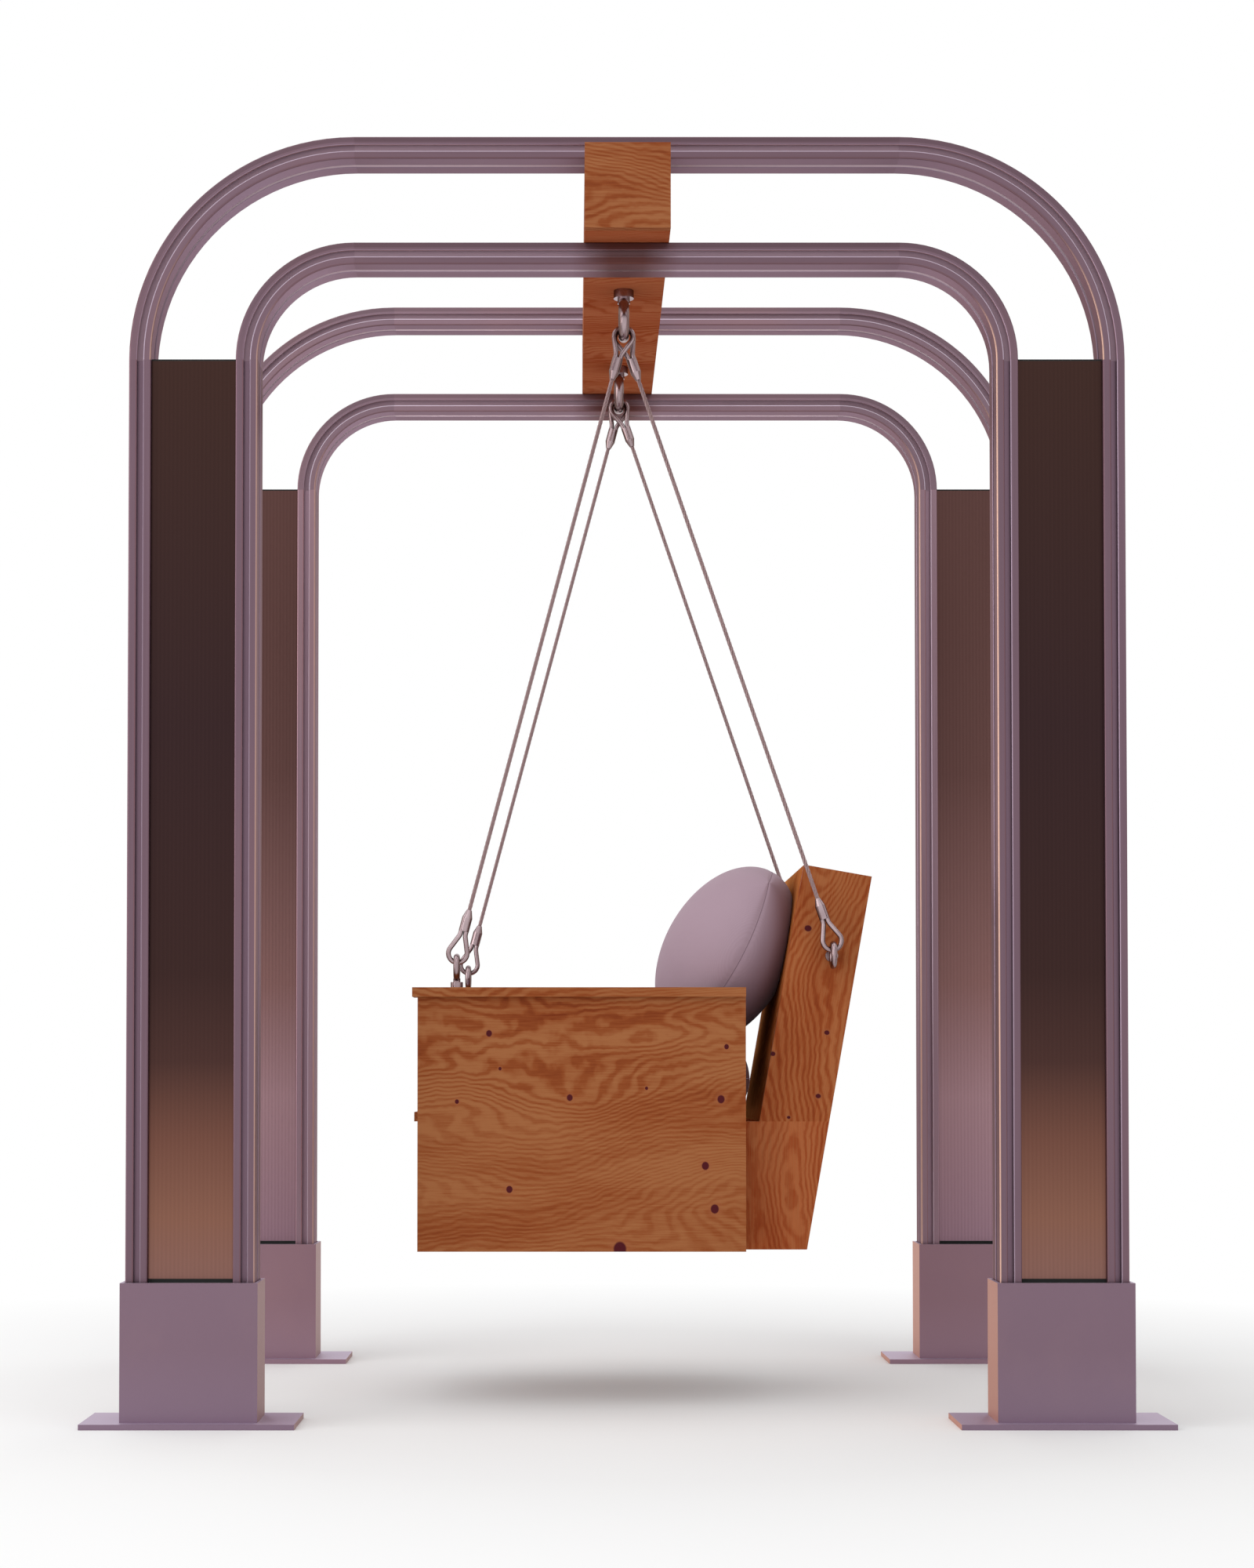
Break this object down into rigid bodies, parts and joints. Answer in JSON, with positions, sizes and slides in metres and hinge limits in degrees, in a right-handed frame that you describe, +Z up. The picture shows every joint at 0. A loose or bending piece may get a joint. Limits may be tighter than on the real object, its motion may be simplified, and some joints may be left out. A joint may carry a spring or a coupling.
{
  "type": "garden swing",
  "caption": "Garden swing: a cushioned plywood seat on wire ropes under a box beam that two arched, slotted aluminium portals with ribbed bronze panels carry.",
  "frame": {"origin": "on the ground, midway between the four base plates", "axes": "+Z up, +X towards the rear of the seat, +Y to the sitter's right"},
  "size_m": [1.964, 1.262, 2.344],
  "materials": {
    "slotted_aluminium": "satin",
    "shoe_steel": "satin",
    "bronze_panel": "gloss",
    "black_rubber": "matte",
    "spacer_plastic": "matte",
    "plywood": "satin",
    "cushion_fabric": "matte",
    "bright_steel": "polished",
    "wire_rope": "satin"
  },
  "bodies": {
    "frame": {"arch_joint_pins": "bright_steel", "beam_bottom_board": "plywood", "beam_eyebolt_nuts": "bright_steel", "beam_fixings": "bright_steel", "beam_front_web": "plywood", "beam_left_end_cap": "plywood", "beam_rear_web": "plywood", "beam_right_end_cap": "plywood", "beam_top_board": "plywood", "left_beam_eyebolt": "bright_steel", "left_front_base_shoe": "shoe_steel", "left_front_infill_panel": "bronze_panel", "left_inner_bends": "slotted_aluminium", "left_inner_front_leg": "slotted_aluminium", "left_inner_rear_leg": "slotted_aluminium", "left_inner_top_bar": "slotted_aluminium", "left_outer_bends": "slotted_aluminium", "left_outer_front_leg": "slotted_aluminium", "left_outer_rear_leg": "slotted_aluminium", "left_outer_top_bar": "slotted_aluminium", "left_rear_base_shoe": "shoe_steel", "left_rear_infill_panel": "bronze_panel", "leg_spacers": "spacer_plastic", "panel_gaskets": "black_rubber", "right_beam_eyebolt": "bright_steel", "right_front_base_shoe": "shoe_steel", "right_front_infill_panel": "bronze_panel", "right_inner_bends": "slotted_aluminium", "right_inner_front_leg": "slotted_aluminium", "right_inner_rear_leg": "slotted_aluminium", "right_inner_top_bar": "slotted_aluminium", "right_outer_bends": "slotted_aluminium", "right_outer_front_leg": "slotted_aluminium", "right_outer_rear_leg": "slotted_aluminium", "right_outer_top_bar": "slotted_aluminium", "right_rear_base_shoe": "shoe_steel", "right_rear_infill_panel": "bronze_panel"},
    "swing": {"arm_end_strips": "plywood", "arm_inner_panels": "plywood", "back_cushion": "cushion_fabric", "back_front_board": "plywood", "back_rear_board": "plywood", "back_top_board": "plywood", "base_front_board": "plywood", "base_sides": "plywood", "ferrules": "bright_steel", "left_arm_outer_panel": "plywood", "left_arm_top": "plywood", "left_back_stile": "plywood", "left_front_rope": "wire_rope", "left_rear_rope": "wire_rope", "right_arm_outer_panel": "plywood", "right_arm_top": "plywood", "right_back_stile": "plywood", "right_front_rope": "wire_rope", "right_rear_rope": "wire_rope", "seat_board": "plywood", "seat_cushion": "cushion_fabric", "seat_eyebolts": "bright_steel", "thimbles": "bright_steel"}
  },
  "joints": [
    {"name": "swing", "type": "hinge", "parent": "frame", "child": "swing", "pos_m": [0, 0, 2.061], "axis": [0, 1, 0], "range_deg": [-30, 30]}
  ]
}
